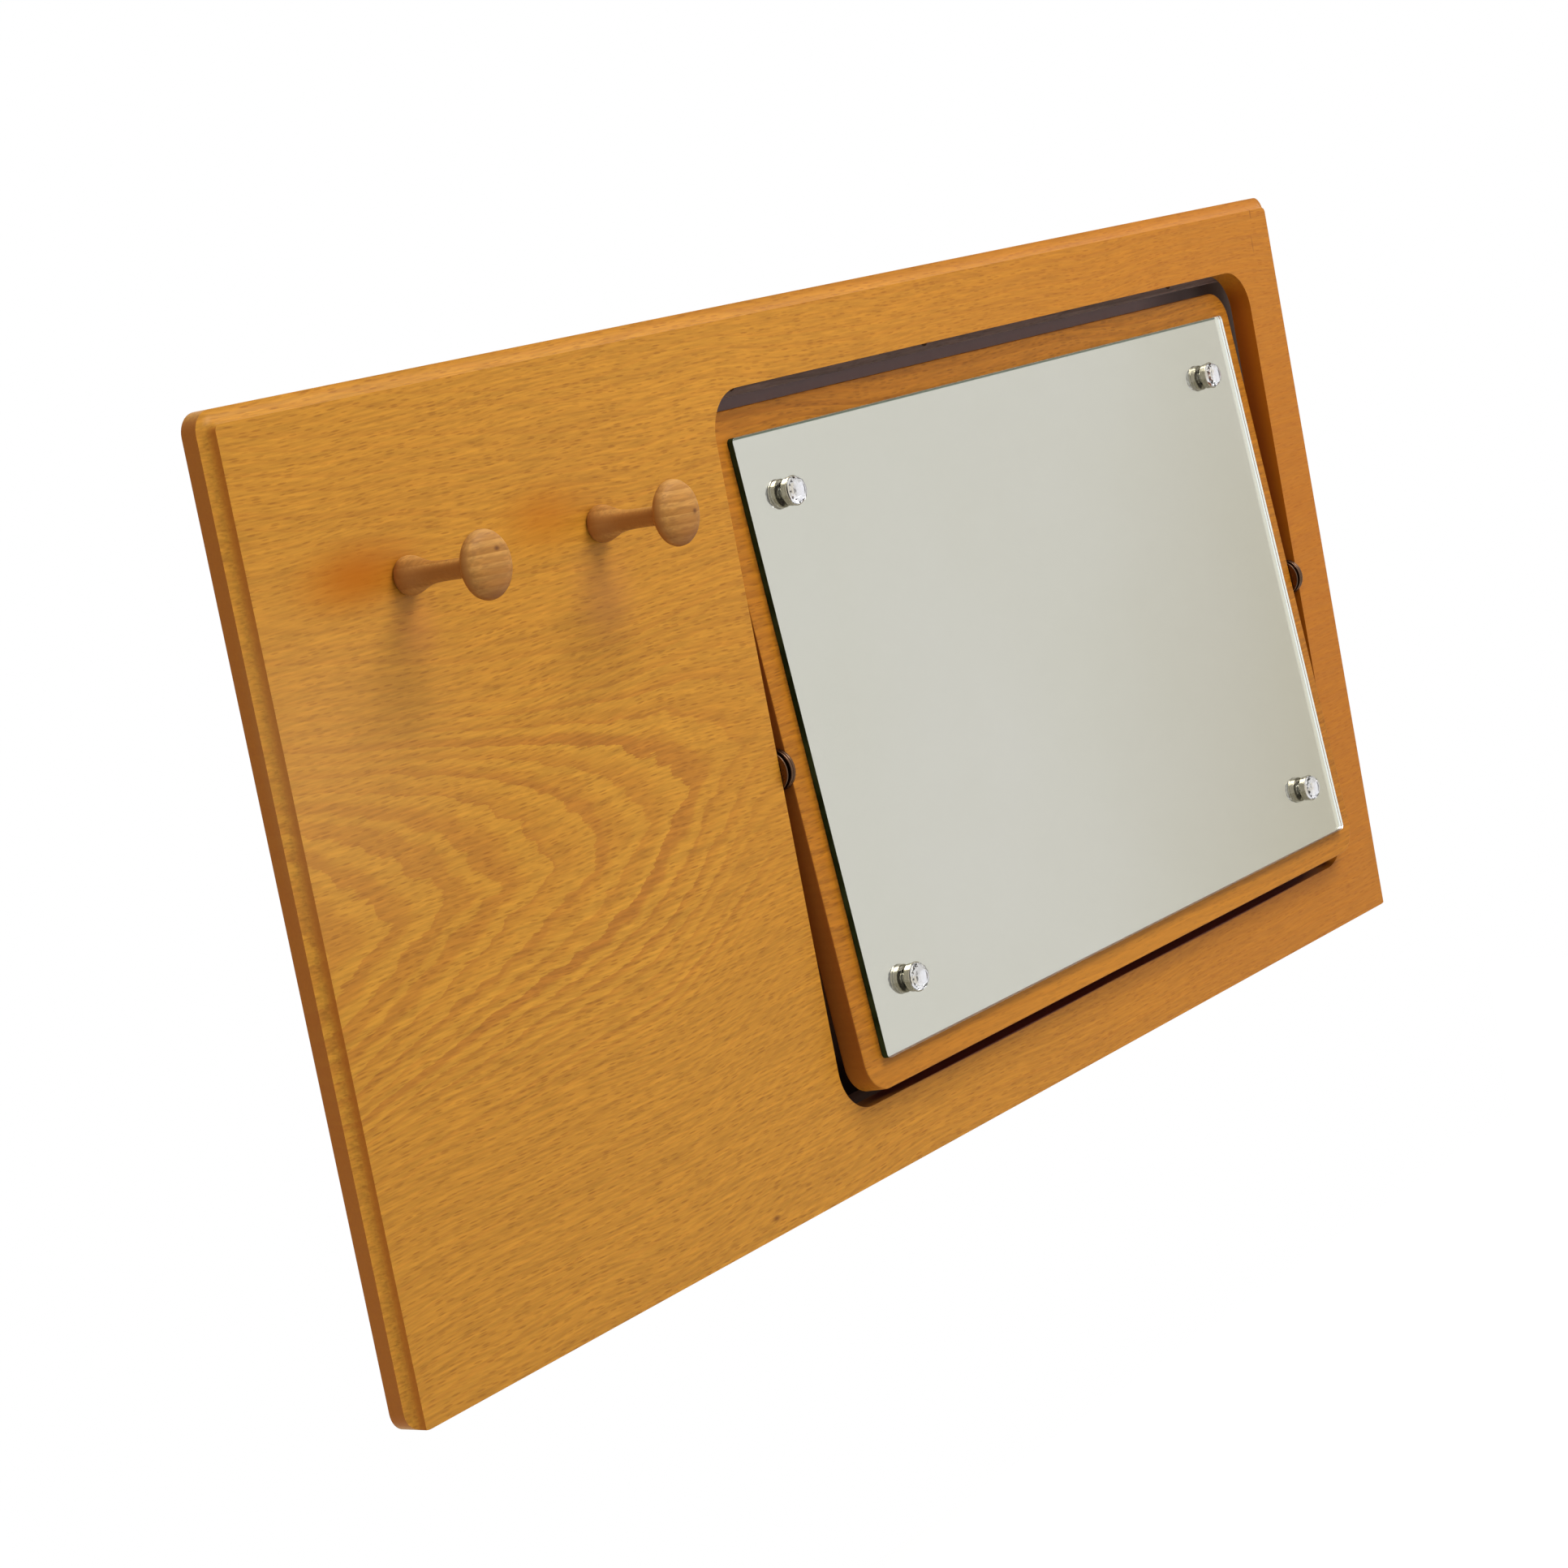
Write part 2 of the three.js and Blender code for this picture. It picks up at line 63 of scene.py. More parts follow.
def add(tree, kind, inputs=None, stops=None, **settings):
    """Adds a node. Its inputs are values, or the nodes or sockets that are linked to them. A linked
    node gives its first output in use. Stops are a colour ramp's."""
    made = tree.nodes.new(kind)
    for name, value in settings.items():
        setattr(made, name, value)
    for name, value in (inputs or {}).items():
        if isinstance(value, bpy.types.Node):
            value = next(socket for socket in value.outputs if socket.enabled)
        if isinstance(value, bpy.types.NodeSocket):
            tree.links.new(value, made.inputs[name])
        else:
            made.inputs[name].default_value = value
    if stops:
        points = made.color_ramp.elements
        while len(points) < len(stops):
            points.new(0.5)
        for point, (position, code) in zip(points, stops):
            point.position = position
            point.color = linear(code)
    return made


def new_material(name):
    """An empty material: its node tree, and its principled shader joined to the output."""
    material = bpy.data.materials.new(name)
    material.use_nodes = True
    tree = material.node_tree
    tree.nodes.clear()
    shader = add(tree, "ShaderNodeBsdfPrincipled")
    add(tree, "ShaderNodeOutputMaterial", {"Surface": shader})
    return material, tree, shader


def nothing_selected():
    if bpy.context.mode != "OBJECT":
        bpy.ops.object.mode_set(mode="OBJECT")
    bpy.ops.object.select_all(action="DESELECT")


def only(piece):
    nothing_selected()
    piece.select_set(True)
    bpy.context.view_layer.objects.active = piece


def placed(piece, matrix):
    """Moves a piece to its place and applies that, so the place is in its mesh."""
    only(piece)
    piece.matrix_world = matrix
    bpy.ops.object.transform_apply(location=True, rotation=True, scale=True)
    return piece


def leaning(matrix):
    """A place given round the pivot line, on the mirror panel as it leans at rest."""
    return Matrix.Translation(PIVOT) @ Matrix.Rotation(LEAN, 4, "X") @ matrix


def turned(name, profile, sides, closed=False):
    """A shape turned on the lathe, standing on its axis Z: [radius, height] in millimetres.
    It starts as a disc, whose edge is drawn on from point to point. A closed profile, which ends
    where it starts, gives a ring."""
    nothing_selected()
    radius, height = profile[0]
    bpy.ops.mesh.primitive_circle_add(
        vertices=sides, radius=radius * MM, location=(0, 0, height * MM),
        fill_type="NOTHING" if closed else "NGON",
    )
    piece = bpy.context.object
    piece.name = piece.data.name = name
    bpy.ops.object.transform_apply(location=True, rotation=True, scale=True)
    bpy.ops.object.mode_set(mode="EDIT")
    bpy.ops.mesh.select_all(action="SELECT")
    for (r0, h0), (r1, h1) in zip(profile, profile[1:]):
        bpy.ops.mesh.extrude_region_move(TRANSFORM_OT_translate={"value": (0, 0, (h1 - h0) * MM)})
        bpy.ops.transform.resize(value=(r1 / r0, r1 / r0, 1), center_override=(0, 0, h1 * MM))
    bpy.ops.mesh.select_all(action="SELECT")
    bpy.ops.mesh.remove_doubles(threshold=1e-6)
    bpy.ops.mesh.normals_make_consistent(inside=False)
    bpy.ops.object.mode_set(mode="OBJECT")
    return piece


def eased(piece, width, segments=2, angle=30, smooth=True):
    """Takes the sharpness off the edges, as sanding or tumbling does, and smooths the rest."""
    only(piece)
    bevel = piece.modifiers.new("eased edges", "BEVEL")
    bevel.width = width * MM
    bevel.segments = segments
    bevel.limit_method = "ANGLE"
    bevel.angle_limit = math.radians(angle)
    bpy.ops.object.modifier_apply(modifier=bevel.name)
    if not smooth:
        return piece
    bpy.ops.object.shade_smooth_by_angle(angle=math.radians(angle + 5))
    flat = piece.modifiers.new("large faces stay flat", "WEIGHTED_NORMAL")
    flat.keep_sharp = True
    flat.weight = 100
    bpy.ops.object.modifier_apply(modifier=flat.name)
    return piece


def cut_away(piece, cutters):
    """Cuts each cutter out of the piece and throws the cutter away."""
    for cutter in cutters:
        only(piece)
        boolean = piece.modifiers.new("cut", "BOOLEAN")
        boolean.object = cutter
        boolean.operation = "DIFFERENCE"
        boolean.solver = "EXACT"
        bpy.ops.object.modifier_apply(modifier=boolean.name)
        bpy.data.objects.remove(cutter, do_unlink=True)
    return piece


def copied(piece, name):
    """A copy with its own mesh."""
    twin = piece.copy()
    twin.data = piece.data.copy()
    twin.name = twin.data.name = name
    bpy.context.collection.objects.link(twin)
    return twin


def joined_copy(node, name):
    """A copy of a CAD shape: the same solid, with its triangles joined up and flat faces whole."""
    nothing_selected()
    piece = bpy.data.objects.new(name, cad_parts[node].data.copy())
    piece.data.name = name
    bpy.context.collection.objects.link(piece)
    only(piece)
    bpy.ops.object.mode_set(mode="EDIT")
    bpy.ops.mesh.select_all(action="SELECT")
    bpy.ops.mesh.remove_doubles(threshold=2e-6)
    bpy.ops.mesh.dissolve_limited(angle_limit=math.radians(0.5))
    bpy.ops.object.mode_set(mode="OBJECT")
    return piece


def finished(piece, material, body, replaced):
    """Gives the piece its material and its body, and hides the CAD nodes that it stands for."""
    piece.data.materials.clear()
    piece.data.materials.append(material)
    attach(piece, body)
    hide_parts(*replaced)
    return piece


# ---------------------------------------------------------------- finishes: wood

def mark(tree, colour, place, centre, spread, code, strength):
    """Tints the wood in a soft ball: its centre and its reach each way, in millimetres. The tints are
    stains, and painted shade, shadow and sheen. A strength above 1 gives the tint a firm edge."""
    apart = add(tree, "ShaderNodeVectorMath", {0: place, 1: centre}, operation="SUBTRACT")
    ratio = add(tree, "ShaderNodeVectorMath", {0: apart, 1: spread}, operation="DIVIDE")
    reach = add(tree, "ShaderNodeVectorMath", {0: ratio}, operation="LENGTH")
    fade = add(tree, "ShaderNodeMapRange", {"Value": reach, "From Min": 1.0, "From Max": 0.0,
               "To Min": 0.0, "To Max": strength}, interpolation_type="SMOOTHSTEP")
    return add(tree, "ShaderNodeMix", {0: fade, 6: colour, 7: linear(code)}, data_type="RGBA")


# What the figure of the wood is made of: grains to a millimetre along X, Y and Z, and detail.
GRAIN_LAYERS = {
    "ripple": ((0.045, 0.05, 0.08), 1.5),    # waves in the rings, about 20 mm long and 12 mm high
    "comb": ((0.05, 0.8, 0.85), 1.0),        # the combed edges of the rings, about 1 mm high
    "streaks": ((0.008, 0.22, 0.3), 3.0),    # long soft streaks, a few millimetres high
    "fibres": ((0.045, 0.8, 0.75), 2.0),     # fine fibres, about 1 mm high
}
RAY_SPACING = (9.0, 2.2, 1.25)  # from one dark ray to the next, along X, Y and Z in millimetres
RING_SPACING = 42.0            # between the tips of the rings, in millimetres
FIGURE_HEIGHT = -221.0         # where the tips lie on the board, and how they climb to the right
FIGURE_CLIMB = {"from": -290.0, "to": -120.0, "rise": 34.0}
FIGURE_END = -100.0            # the last tip on the right
END_BLEND = 160.0              # how softly the row of tips stops there
TIP_HALF = 85.0                # half the height over which a ring closes into a tip
TIP_BEND = 1 / 4000            # a ring falls back from its tip by the cube of the distance times this,
TIP_SLOPE = 1.4                # and by the distance times this, which makes the tip pointed
TIP_SKEW = -0.8                # the V's lower arm falls back faster than its upper one
LINE_SLOPE = 5.4               # added to TIP_SLOPE past TIP_HALF, where the cube ends
TIP_REACH = (120.0, 45.0)      # from this far above or below the tips to this, waves and rings come in
RINGS_CLEAR = (-130.0, -290.0)      # along X, where the rings come in
FAINT_RINGS = 0.2              # how strong the rings are away from the tips,
CLEAR_RINGS = 0.52             # and how much stronger they are round the tips on the left
RIPPLE_SIZE = 34.0             # how far the waves and the combing push a ring sideways
COMB_SIZE = 12.0


def straight_rings(tree, x, z):
    """Rings of a board cut well away from the heart: straight lines, about 6 mm apart, and faint."""
    level = add(tree, "ShaderNodeMath", {0: x, 1: 0.035, 2: z}, operation="MULTIPLY_ADD")
    field = add(tree, "ShaderNodeMath", {0: level, 1: 7.0}, operation="MULTIPLY")
    show = add(tree, "ShaderNodeValue")
    show.outputs[0].default_value = 0.45
    return field, show


def pointed_rings(tree, x, z, ripple, comb):
    """Rings cut near the heart, which close into ragged Vs that point to the right. The field is the
    place, in millimetres, where a ring has its tip. Away from the tips it rises fast, so that the
    rings run on there as lines along the board. The rings show best round the tips."""
    climb = add(tree, "ShaderNodeMapRange", {"Value": x, "From Min": FIGURE_CLIMB["from"],
                "From Max": FIGURE_CLIMB["to"], "To Min": FIGURE_HEIGHT,
                "To Max": FIGURE_HEIGHT + FIGURE_CLIMB["rise"]}, interpolation_type="SMOOTHSTEP")
    above = add(tree, "ShaderNodeMath", {0: z, 1: climb}, operation="SUBTRACT")
    away = add(tree, "ShaderNodeMath", {0: above}, operation="ABSOLUTE")
    bent = add(tree, "ShaderNodeMath", {0: away, 1: TIP_HALF}, operation="MINIMUM")
    past = add(tree, "ShaderNodeMath", {0: away, 1: bent}, operation="SUBTRACT")
    left = add(tree, "ShaderNodeMath", {0: x, 1: FIGURE_END, 2: END_BLEND}, operation="SMOOTH_MIN")
    field = add(tree, "ShaderNodeMath", {0: bent, 1: 3.0}, operation="POWER")
    field = add(tree, "ShaderNodeMath", {0: field, 1: TIP_BEND, 2: left}, operation="MULTIPLY_ADD")
    field = add(tree, "ShaderNodeMath", {0: past, 1: LINE_SLOPE, 2: field}, operation="MULTIPLY_ADD")
    field = add(tree, "ShaderNodeMath", {0: away, 1: TIP_SLOPE, 2: field}, operation="MULTIPLY_ADD")
    field = add(tree, "ShaderNodeMath", {0: above, 1: TIP_SKEW, 2: field}, operation="MULTIPLY_ADD")
    near = add(tree, "ShaderNodeMapRange", {"Value": away, "From Min": TIP_REACH[0],
               "From Max": TIP_REACH[1], "To Min": 0.0, "To Max": 1.0}, interpolation_type="SMOOTHSTEP")
    wave = add(tree, "ShaderNodeMath", {0: ripple, 1: near}, operation="MULTIPLY")
    field = add(tree, "ShaderNodeMath", {0: wave, 1: RIPPLE_SIZE, 2: field}, operation="MULTIPLY_ADD")
    field = add(tree, "ShaderNodeMath", {0: comb, 1: COMB_SIZE, 2: field}, operation="MULTIPLY_ADD")
    leftward = add(tree, "ShaderNodeMapRange", {"Value": x, "From Min": RINGS_CLEAR[0],
                   "From Max": RINGS_CLEAR[1], "To Min": 0.0,
                   "To Max": CLEAR_RINGS}, interpolation_type="SMOOTHSTEP")
    show = add(tree, "ShaderNodeMath", {0: near, 1: leftward, 2: FAINT_RINGS}, operation="MULTIPLY_ADD")
    return field, show


def beech(name, light, middle, dark, pore, end_grain, gloss, figured=False, marks=(),
          shift=(0, 0, 0)):
    """Beech cut along the grain, which runs along X. Each growth ring starts with a dark line and
    fades, and short dark flecks stand where the rays are cut. The ends of the board are darker.
    Marks are stains, painted shade and painted sheen; the shift, in millimetres, takes another part
    of the same tree."""
    material, tree, shader = new_material(name)
    place = add(tree, "ShaderNodeTexCoord").outputs["Object"]
    at = add(tree, "ShaderNodeMapping", {"Vector": place, "Scale": (1000, 1000, 1000),
             "Location": shift})
    slow = add(tree, "ShaderNodeMapping", {"Vector": at, "Scale": (0.005, 0.01, 0.011)})
    wander = add(tree, "ShaderNodeTexNoise", {"Vector": slow, "Scale": 1.0, "Detail": 1.0})
    bend = add(tree, "ShaderNodeMapRange", {"Value": wander, "To Min": -9.0, "To Max": 9.0})
    lift = add(tree, "ShaderNodeCombineXYZ", {"Z": bend})
    lie = add(tree, "ShaderNodeVectorMath", {0: at, 1: lift}, operation="ADD")
    grain = {}
    for layer, (scale, detail) in GRAIN_LAYERS.items():
        drawn = add(tree, "ShaderNodeMapping", {"Vector": lie, "Scale": scale})
        noise = add(tree, "ShaderNodeTexNoise", {"Vector": drawn, "Scale": 1.0, "Detail": detail})
        grain[layer] = add(tree, "ShaderNodeMath", {0: noise, 1: 0.5}, operation="SUBTRACT")

    apart = add(tree, "ShaderNodeSeparateXYZ", {0: lie})
    x, z = apart.outputs["X"], apart.outputs["Z"]
    if figured:
        field, show = pointed_rings(tree, x, z, grain["ripple"], grain["comb"])
    else:
        field, show = straight_rings(tree, x, z)
    count = add(tree, "ShaderNodeMath", {0: field, 1: RING_SPACING}, operation="DIVIDE")
    years = add(tree, "ShaderNodeTexNoise", {"W": count, "Scale": 2.3, "Detail": 2.0},
                noise_dimensions="1D")
    seasons = add(tree, "ShaderNodeTexNoise", {"W": count, "Scale": 0.7, "Detail": 1.0},
                  noise_dimensions="1D")
    strength = add(tree, "ShaderNodeMapRange", {"Value": seasons, "From Min": 0.35,
                   "From Max": 0.6, "To Min": 0.35, "To Max": 1.0})
    show = add(tree, "ShaderNodeMath", {0: show, 1: strength}, operation="MULTIPLY")
    uneven = add(tree, "ShaderNodeMath", {0: years, 1: 0.6, 2: count}, operation="MULTIPLY_ADD")
    ring = add(tree, "ShaderNodeMath", {0: uneven}, operation="FRACT")
    body = add(tree, "ShaderNodeValToRGB", {"Fac": ring}, stops=[
        (0.0, middle), (0.04, dark), (0.16, dark), (0.45, middle), (0.7, light), (0.97, light)])
    quiet = add(tree, "ShaderNodeMix", {0: show, 6: linear(middle), 7: body}, data_type="RGBA")
    gain = add(tree, "ShaderNodeMapRange", {"Value": grain["streaks"], "From Min": -0.2,
               "From Max": 0.2, "To Min": 0.91, "To Max": 1.08})
    fine = add(tree, "ShaderNodeMapRange", {"Value": grain["fibres"], "From Min": -0.15,
               "From Max": 0.15, "To Min": 1.1, "To Max": 0.86})
    gain = add(tree, "ShaderNodeMath", {0: gain, 1: fine}, operation="MULTIPLY")
    lined = add(tree, "ShaderNodeVectorMath", {0: quiet, "Scale": gain}, operation="SCALE")

    facing = add(tree, "ShaderNodeTexCoord").outputs["Normal"]
    sideways = add(tree, "ShaderNodeVectorMath", {0: facing, 1: (1, 0, 0)}, operation="DOT_PRODUCT")
    end_on = add(tree, "ShaderNodeMath", {0: sideways}, operation="ABSOLUTE")
    end = add(tree, "ShaderNodeMapRange", {"Value": end_on, "From Min": 0.5, "From Max": 0.97,
              "To Min": 0.0, "To Max": 0.85}, interpolation_type="SMOOTHSTEP")
    spread = add(tree, "ShaderNodeVectorMath", {0: lie, 1: RAY_SPACING}, operation="DIVIDE")
    rays = add(tree, "ShaderNodeTexVoronoi", {"Vector": spread, "Scale": 1.0})
    depth = add(tree, "ShaderNodeSeparateColor", {0: rays.outputs["Color"]})
    fleck = add(tree, "ShaderNodeMapRange", {"Value": rays, "From Min": 0.5, "From Max": 0.22,
                "To Min": 0.0, "To Max": 0.46}, interpolation_type="SMOOTHSTEP")
    fleck = add(tree, "ShaderNodeMath", {0: fleck, 1: depth}, operation="MULTIPLY")
    along = add(tree, "ShaderNodeMath", {0: 1.0, 1: end}, operation="SUBTRACT")
    fleck = add(tree, "ShaderNodeMath", {0: fleck, 1: along}, operation="MULTIPLY")
    grained = add(tree, "ShaderNodeMix", {0: fleck, 6: lined, 7: linear(pore)}, data_type="RGBA")
    colour = add(tree, "ShaderNodeMix", {0: end, 6: grained, 7: linear(end_grain)},
                 data_type="RGBA")
    for spot in marks:
        colour = mark(tree, colour, at, *spot)

    rough = add(tree, "ShaderNodeMapRange", {"Value": grain["streaks"], "From Min": -0.2,
                "From Max": 0.2, "To Min": gloss - 0.04, "To Max": gloss + 0.06})
    height = add(tree, "ShaderNodeMath", {0: grain["streaks"], 1: 0.4}, operation="MULTIPLY")
    height = add(tree, "ShaderNodeMath", {0: height, 1: fleck}, operation="SUBTRACT")
    bump = add(tree, "ShaderNodeBump", {"Height": height, "Strength": 0.25, "Distance": 0.00015})
    tree.links.new(colour.outputs[2], shader.inputs["Base Color"])
    tree.links.new(rough.outputs[0], shader.inputs["Roughness"])
    tree.links.new(bump.outputs[0], shader.inputs["Normal"])
    shader.inputs["Specular IOR Level"].default_value = 0.15
    return material


# Stains and wear on the board, and painted shade, shadow and sheen: (centre), (spread), colour and
# strength, in millimetres.
BOARD_MARKS = [
    ((560, -40, -230), (860, 90, 760), "AC5A04", 0.6),       # the lacquer is redder towards the right
    ((-510, -40, -130), (170, 12, 130), "CE9A60", 0.2),      # and paler at the left edge, a painted sheen of the lacquer
    ((-448, -40, -49), (60, 12, 24), "AE600C", 0.9),         # darker orange beside the left peg
    ((-300, -40, -44), (52, 12, 24), "B2660E", 0.6),         # and beside the right one
    ((-414, -40, -80), (24, 12, 26), "B0683A", 0.3),         # painted pink shadow below the left peg
    ((-264, -40, -92), (36, 12, 36), "B87444", 0.3),         # and below the right one
    ((-223, -40, -446.5), (5, 12, 2.6), "6E3C14", 0.85),     # a small knot near the bottom edge
    ((467, -40, -385), (3, 12, 1.6), "6E3C14", 0.6),         # and a mark on the right border
    ((80, -40, 44), (760, 90, 13), "A8640C", 0.4),           # painted shade, darker along the top edge, where the rounding faces the lamp
    ((501, -40, 34), (1.2, 12, 6), "7A4618", 0.7),           # scratches across the top right corner
    ((497, -40, 13), (1.2, 12, 9), "7A4618", 0.6),
    ((480, -28, -208), (9, 14, 420), "7E2E14", 0.7),         # painted shade, darker and redder, on the opening's right wall
    ((40, -30, -413), (230, 22, 3), "4E180E", 5.0),          # dark and red on its bottom wall, where
    ((290, -30, -413), (235, 22, 3), "4E180E", 5.0),         # hardly any light comes in
]
PANEL_SHIFT = (311, 40, 77)
# A mark's centre has the shift in it. This mark is paler wood below the glass.
PANEL_MARKS = [((479, -10, -328), (520, 80, 45), "CE8A2C", 0.45)]
PEG_SHIFT = (70, 200, 31)


def lacquered_board():
    """Beech under old satin lacquer, gone honey yellow, with a V figure in its left part."""
    return beech("honey lacquered beech", "C88E30", "BD812A", "A96824", "7E4612", "AC6018", 0.42,
                 figured=True, marks=BOARD_MARKS)


def lacquered_panel():
    """The same beech and lacquer, from a board with straight rings."""
    return beech("honey lacquered beech, straight grain", "B9761E", "AD6B1A", "9A5A14", "66380A",
                 "8A4E1E", 0.42, marks=PANEL_MARKS, shift=PANEL_SHIFT)


def stained_rails():
    """Planed beech stained grey-brown, so that no rail shows in the gap round the mirror."""
    return beech("planed beech, dark stain", "7E6A62", "6C5A53", "5A4A44", "40322C", "4E3E38", 0.6,
                 shift=(90, 500, 300))


def turned_wood(marks):
    """Beech turned and waxed: greyer than the board, with the rings as bands across the head."""
    return beech("turned waxed beech", "CC9850", "B27C3C", "946026", "8A5A30", "A46C34", 0.5,
                 marks=marks, shift=PEG_SHIFT)


# ---------------------------------------------------------------- finishes: metal

def metal(name, code, gloss, mark_scale, depth):
    """Metal with fine marks: rings from the lathe where the scale along its axis is the largest, and
    an even fine grain where all three are the same."""
    material, tree, shader = new_material(name)
    place = add(tree, "ShaderNodeTexCoord").outputs["Object"]
    at = add(tree, "ShaderNodeMapping", {"Vector": place, "Scale": mark_scale})
    marks = add(tree, "ShaderNodeTexNoise", {"Vector": at, "Scale": 1.0, "Detail": 2.0})
    rough = add(tree, "ShaderNodeMapRange", {"Value": marks, "From Min": 0.3, "From Max": 0.7,
                "To Min": gloss - 0.05, "To Max": gloss + 0.07})
    bump = add(tree, "ShaderNodeBump", {"Height": marks, "Strength": 0.2, "Distance": depth})
    shader.inputs["Base Color"].default_value = linear(code)
    shader.inputs["Metallic"].default_value = 1.0
    tree.links.new(rough.outputs[0], shader.inputs["Roughness"])
    tree.links.new(bump.outputs[0], shader.inputs["Normal"])
    return material


def nickel_plate():
    """Nickel plate over turned brass: warm and pale, satin rather than mirror bright."""
    return metal("satin nickel plate", "ABA491", 0.2, (600, 3000, 600), 0.00002)


def silver_foil():
    """Bright foil under the crystals, slightly creased."""
    return metal("silver foil", "F6F6F2", 0.12, (700, 700, 700), 0.00004)


def blackened_steel():
    """Oil-blackened spring steel: almost black, with a low shine on its rounded rims."""
    return metal("oil-blackened steel", "664C3A", 0.26, (3000, 500, 500), 0.00002)


def zinc_steel():
    """Bright zinc plate on steel screws and pins."""
    return metal("bright zinc plate", "C4C6C2", 0.36, (900, 900, 900), 0.00002)


def bearing_bronze():
    """Turned bronze of the bushes, a dull red gold."""
    return metal("turned bronze", "B58A52", 0.34, (3000, 500, 500), 0.00002)


# ---------------------------------------------------------------- finishes: glass and plastic

def float_glass():
    """Clear float glass, 4 mm thick. It takes a faint green from its iron."""
    material, _, shader = new_material("clear float glass")
    shader.inputs["Base Color"].default_value = linear("FBFDFA")
    shader.inputs["Transmission Weight"].default_value = 1.0
    shader.inputs["IOR"].default_value = 1.52
    shader.inputs["Roughness"].default_value = 0.0
    return material


def glass_edge():
    """The ground and polished edge of the glass. From outside it is deep bottle green, because its
    light has come a long way through the sheet. From inside it throws the light back, like silver."""
    material, tree, shader = new_material("polished glass edge")
    place = add(tree, "ShaderNodeTexCoord").outputs["Object"]
    at = add(tree, "ShaderNodeMapping", {"Vector": place, "Scale": (60, 60, 60)})
    patches = add(tree, "ShaderNodeTexNoise", {"Vector": at, "Scale": 1.0, "Detail": 2.0})
    green = add(tree, "ShaderNodeValToRGB", {"Fac": patches},
                stops=[(0.35, "1A2410"), (0.65, "323D22")])
    inside = add(tree, "ShaderNodeNewGeometry").outputs["Backfacing"]
    colour = add(tree, "ShaderNodeMix", {0: inside, 6: green, 7: linear("FDFFFF")},
                 data_type="RGBA")
    tree.links.new(colour.outputs[2], shader.inputs["Base Color"])
    tree.links.new(inside, shader.inputs["Metallic"])
    shader.inputs["Roughness"].default_value = 0.12
    shader.inputs["IOR"].default_value = 1.52
    shader.inputs["Specular IOR Level"].default_value = 0.05
    return material


SILVER_MIDDLE = -208.5         # height of the silver's middle, in millimetres
SILVER_HALF = 178.6            # from there to its top
SILVER_DAMP = (1.4, 1.0)       # the dark line starts and is full this far below the top
SILVER_RIGHT = (445.5, 447.5)  # where the painted highlight, a white strip, starts and is full


def silvering():
    """The silver on the back of the glass. It is old and slightly grey, with a warm cloud. A dark
    line runs along its top, where damp has crept in. A strip on its right side is painted white as a
    painted highlight, and shows again in the polished edge as a white line."""
    material, tree, shader = new_material("aged mirror silver")
    place = add(tree, "ShaderNodeTexCoord").outputs["Object"]
    at = add(tree, "ShaderNodeMapping", {"Vector": place, "Scale": (4, 4, 4)})
    clouds = add(tree, "ShaderNodeTexNoise", {"Vector": at, "Scale": 1.0, "Detail": 3.0})
    grey = add(tree, "ShaderNodeValToRGB", {"Fac": clouds},
               stops=[(0.3, "DEDBDB"), (0.7, "DAD7D3")])
    apart = add(tree, "ShaderNodeSeparateXYZ", {0: place}).outputs
    up = add(tree, "ShaderNodeMath", {0: apart["Z"], 1: SILVER_MIDDLE * MM}, operation="SUBTRACT")
    edge = add(tree, "ShaderNodeMapRange", {
        "Value": up, "From Min": (SILVER_HALF - SILVER_DAMP[0]) * MM,
        "From Max": (SILVER_HALF - SILVER_DAMP[1]) * MM, "To Min": 0.0, "To Max": 0.97})
    worn = add(tree, "ShaderNodeMix", {0: edge, 6: grey, 7: linear("2A4614")}, data_type="RGBA")
    # Painted highlight: the silver turns pure white along its right side.
    side = add(tree, "ShaderNodeMapRange", {"Value": apart["X"], "From Min": SILVER_RIGHT[0] * MM,
               "From Max": SILVER_RIGHT[1] * MM, "To Min": 0.0, "To Max": 1.0})
    lit = add(tree, "ShaderNodeMix", {0: side, 6: worn, 7: linear("FFFFFF")}, data_type="RGBA")
    tree.links.new(lit.outputs[2], shader.inputs["Base Color"])
    shader.inputs["Metallic"].default_value = 1.0
    shader.inputs["Roughness"].default_value = 0.02
    return material


def cut_crystal():
    """Moulded clear glass with flat facets, which catch the light one by one."""
    material, _, shader = new_material("clear faceted glass")
    shader.inputs["Base Color"].default_value = linear("FAFAFF")
    shader.inputs["Transmission Weight"].default_value = 1.0
    shader.inputs["IOR"].default_value = 1.5
    shader.inputs["Roughness"].default_value = 0.03
    return material


def soft_sleeve():
    """Soft clear vinyl, slightly milky, that keeps the screws off the glass."""
    material, _, shader = new_material("clear soft vinyl")
    shader.inputs["Base Color"].default_value = linear("E6E8E2")
    shader.inputs["Transmission Weight"].default_value = 0.7
    shader.inputs["IOR"].default_value = 1.5
    shader.inputs["Roughness"].default_value = 0.35
    return material


# ---------------------------------------------------------------- pieces

